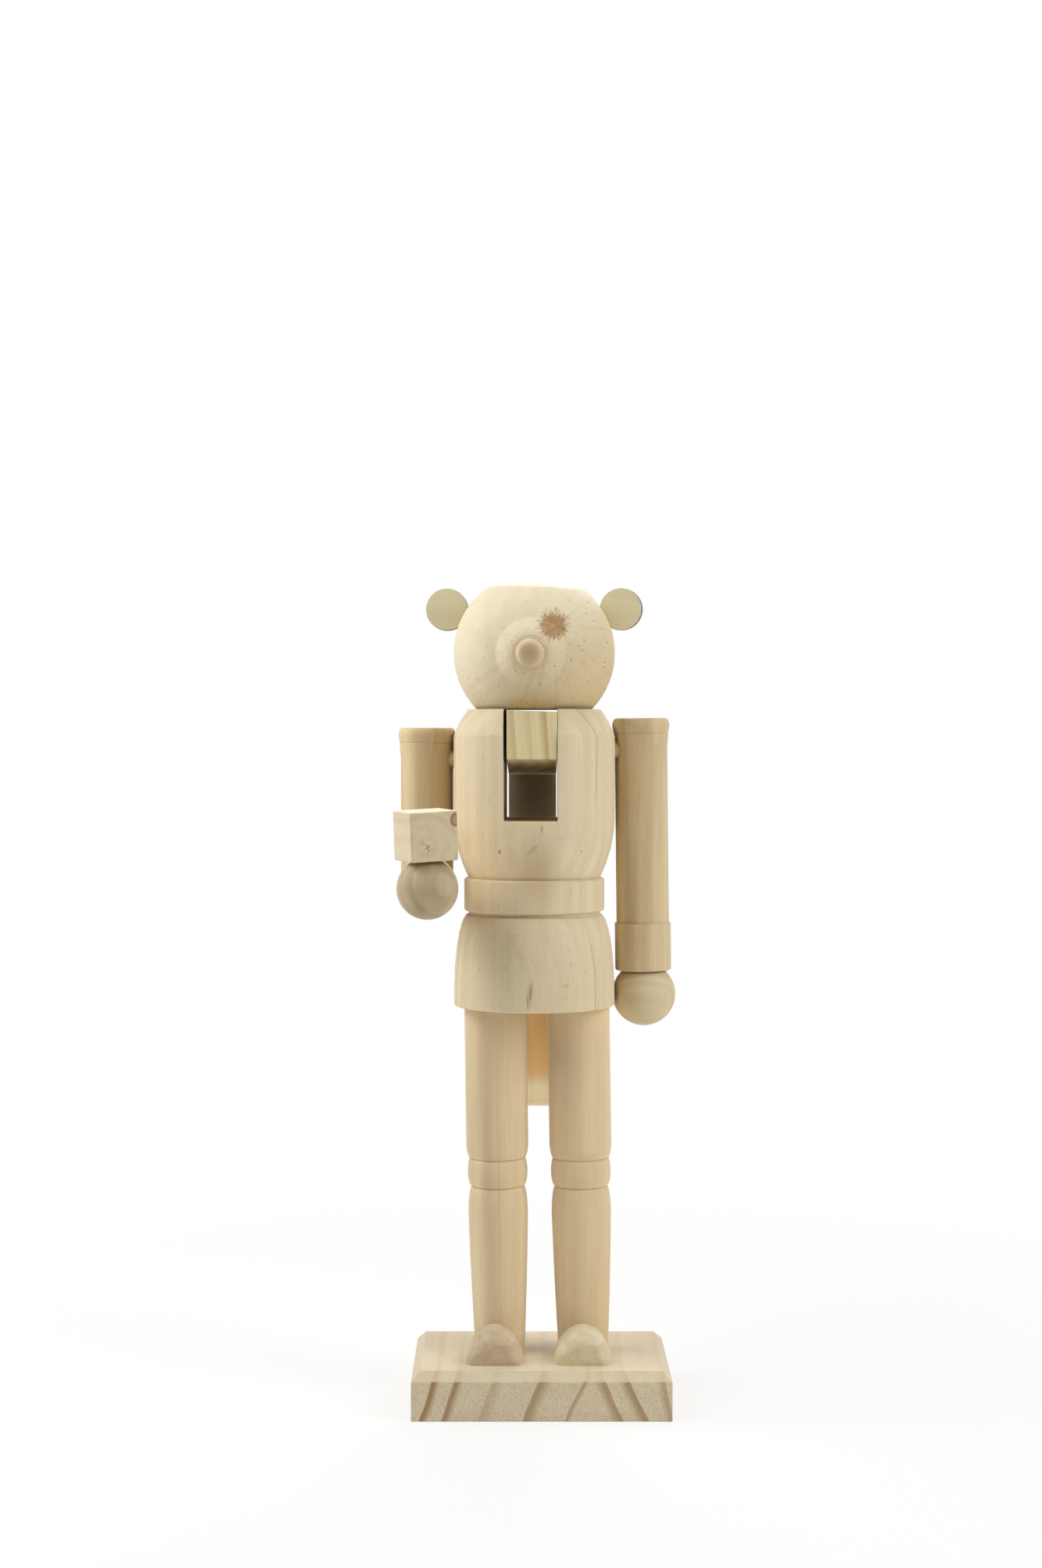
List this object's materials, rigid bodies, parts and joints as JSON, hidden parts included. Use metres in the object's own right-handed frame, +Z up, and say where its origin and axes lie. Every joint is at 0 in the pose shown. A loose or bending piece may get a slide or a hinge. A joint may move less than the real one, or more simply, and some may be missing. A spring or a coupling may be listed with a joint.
{
  "type": "wooden nutcracker figure",
  "caption": "Unpainted turned wooden bear nutcracker on a chamfered base, with a lever jaw worked from the back, swinging arms and a gift block on one hand.",
  "frame": {"origin": "middle of the base's underside", "axes": "+Z up along the figure, -Y towards the face, +X to the viewer's right"},
  "size_m": [0.086, 0.082, 0.2511],
  "materials": {
    "base_pine": "sanded bare pine, end grain on the front",
    "leg_wood": "turned and sanded bare softwood",
    "toe_wood": "sanded end grain",
    "body_wood": "turned and sanded bare softwood",
    "lever_pine": "sawn and sanded pine",
    "head_wood": "turned and sanded bare softwood with a knot",
    "nose_wood": "dowel end, sanded",
    "ear_plywood": "thin plywood with a scorched cut edge",
    "arm_wood": "turned and sanded bare softwood",
    "hand_wood": "turned bare wooden ball",
    "gift_wood": "sawn and sanded end grain",
    "dowel_wood": "plain dowel"
  },
  "bodies": {
    "figure": {"base": "base_pine", "left_leg": "leg_wood", "right_leg": "leg_wood", "left_toe": "toe_wood", "right_toe": "toe_wood", "left_ankle_dowel": "dowel_wood", "right_ankle_dowel": "dowel_wood", "left_hip_dowel": "dowel_wood", "right_hip_dowel": "dowel_wood", "body": "body_wood", "lever_pin": "dowel_wood", "head": "head_wood", "left_neck_dowel": "dowel_wood", "right_neck_dowel": "dowel_wood", "nose": "nose_wood", "left_ear": "ear_plywood", "right_ear": "ear_plywood", "right_shoulder_peg": "dowel_wood", "left_shoulder_peg": "dowel_wood"},
    "jaw": {"jaw_lever": "lever_pine"},
    "right_arm_body": {"right_arm": "arm_wood", "right_wrist_dowel": "dowel_wood", "right_hand": "hand_wood"},
    "left_arm_body": {"left_upper_arm": "arm_wood", "elbow_dowel": "dowel_wood", "left_forearm": "arm_wood", "left_wrist_dowel": "dowel_wood", "left_hand": "hand_wood", "gift_block": "gift_wood"}
  },
  "joints": [
    {"name": "jaw_hinge", "type": "hinge", "parent": "figure", "child": "jaw", "pos_m": [-0.00172, 0.01, 0.2], "axis": [0.9997, -0.0236, 0], "range_deg": [0, 30]},
    {"name": "right_shoulder", "type": "hinge", "parent": "figure", "child": "right_arm_body", "pos_m": [0.03124, 0.00537, 0.2], "axis": [-0.9763, -0.2164, 0], "range_deg": [-60, 145]},
    {"name": "left_shoulder", "type": "hinge", "parent": "figure", "child": "left_arm_body", "pos_m": [-0.03524, 0.00537, 0.197], "axis": [-0.9763, 0.2164, 0], "range_deg": [-10, 75]}
  ]
}
